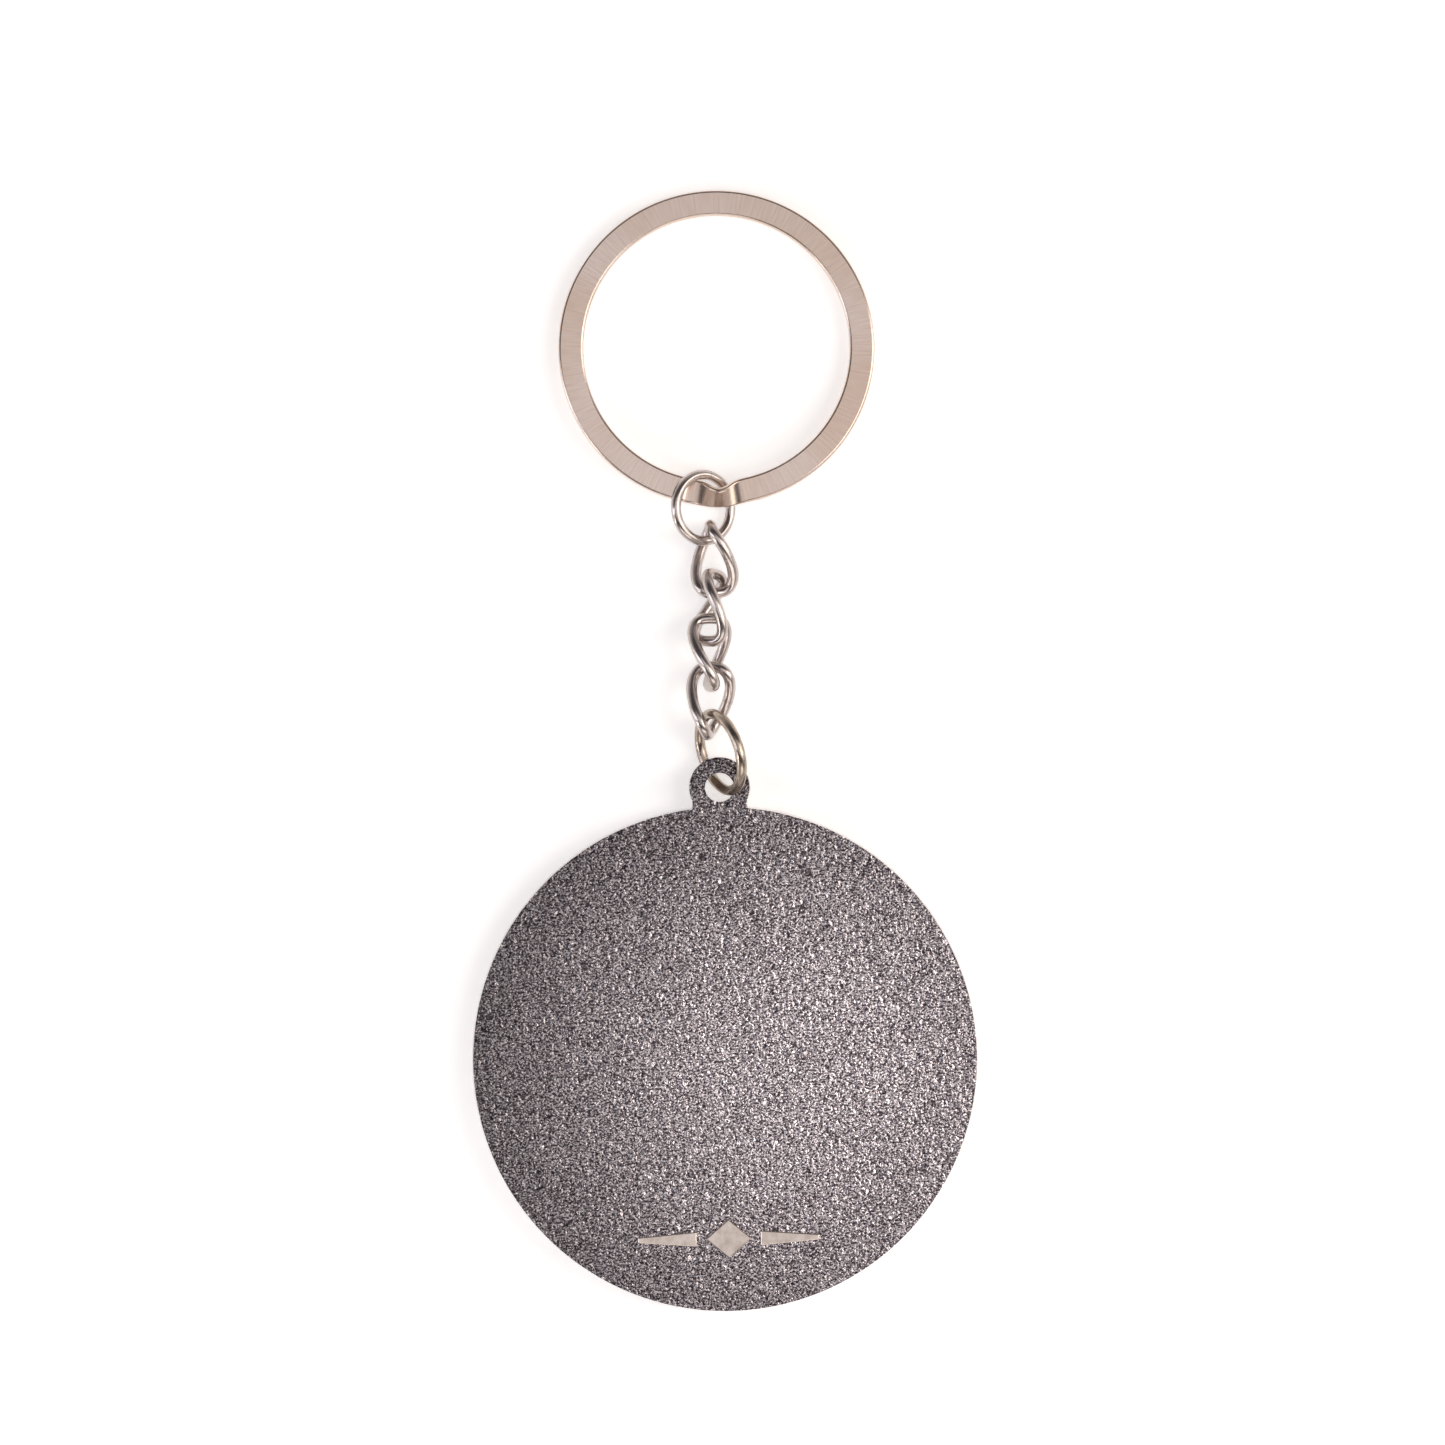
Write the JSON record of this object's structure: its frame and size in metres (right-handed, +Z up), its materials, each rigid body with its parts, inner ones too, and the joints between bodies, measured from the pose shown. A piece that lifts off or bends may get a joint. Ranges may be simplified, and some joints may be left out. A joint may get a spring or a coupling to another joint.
{
  "type": "keychain",
  "caption": "Lying keychain: round textured medallion with a raised ornament, on a short twisted-link chain with jump rings and a flat split ring for keys",
  "frame": {"origin": "centre of the medallion's lower (front) face, on the surface it lies on", "axes": "+Z up out of the medallion's textured back, +Y from the medallion along the chain to the split ring, +X to the right"},
  "size_m": [0.0508, 0.1127, 0.0081],
  "materials": {
    "cast_metal": "nickel-plated zinc die casting with a fine hammered sand texture; ornament and rim polished",
    "dark_enamel": "hard enamel, ground and polished flush",
    "pale_enamel": "hard enamel, ground and polished flush",
    "nickel_wire": "nickel-plated steel wire, bright",
    "nickel_band": "nickel-plated spring steel strip, satin faces"
  },
  "bodies": {
    "medallion": {"medallion": "cast_metal", "enamel_border": "dark_enamel", "enamel_field": "pale_enamel"},
    "bottom_jump_ring": {"bottom_jump_ring": "nickel_wire"},
    "chain_link_4": {"chain_link_4": "nickel_wire"},
    "chain_link_3": {"chain_link_3": "nickel_wire"},
    "chain_link_2": {"chain_link_2": "nickel_wire"},
    "chain_link_1": {"chain_link_1": "nickel_wire"},
    "top_jump_ring": {"top_jump_ring": "nickel_wire"},
    "split_ring": {"split_ring": "nickel_band"}
  },
  "joints": [
    {"name": "bottom_ring_in_tab", "type": "hinge", "parent": "medallion", "child": "bottom_jump_ring", "pos_m": [0.00043, 0.02713, 0.00304], "axis": [0.3498, -0.1799, 0.9194], "range_deg": [-85, 80]},
    {"name": "link_4_on_bottom_ring", "type": "hinge", "parent": "bottom_jump_ring", "child": "chain_link_4", "pos_m": [-0.00173, 0.03415, 0.00243], "axis": [0.5923, 0.4116, 0.6927], "range_deg": [-85, 85]},
    {"name": "link_3_on_link_4", "type": "hinge", "parent": "chain_link_4", "child": "chain_link_3", "pos_m": [-0.00007, 0.03735, 0.00311], "axis": [0, -0.2095, -0.9778], "range_deg": [-85, 85]},
    {"name": "link_2_on_link_3", "type": "hinge", "parent": "chain_link_3", "child": "chain_link_2", "pos_m": [-0.00077, 0.0422, 0.00354], "axis": [-0.501, 0.0802, -0.8617], "range_deg": [-85, 85]},
    {"name": "link_1_on_link_2", "type": "hinge", "parent": "chain_link_2", "child": "chain_link_1", "pos_m": [-0.00018, 0.04671, 0.00289], "axis": [0.9573, -0.2094, 0.1994], "range_deg": [-85, 85]},
    {"name": "top_ring_on_link_1", "type": "hinge", "parent": "chain_link_1", "child": "top_jump_ring", "pos_m": [0.00049, 0.05237, 0.00174], "axis": [-0.882, -0.2305, 0.4109], "range_deg": [-85, 85]},
    {"name": "split_ring_on_top_ring", "type": "hinge", "parent": "top_jump_ring", "child": "split_ring", "pos_m": [-0.00208, 0.05658, 0.0011], "axis": [-0.8106, 0.1701, -0.5604], "range_deg": [-85, 85]}
  ]
}
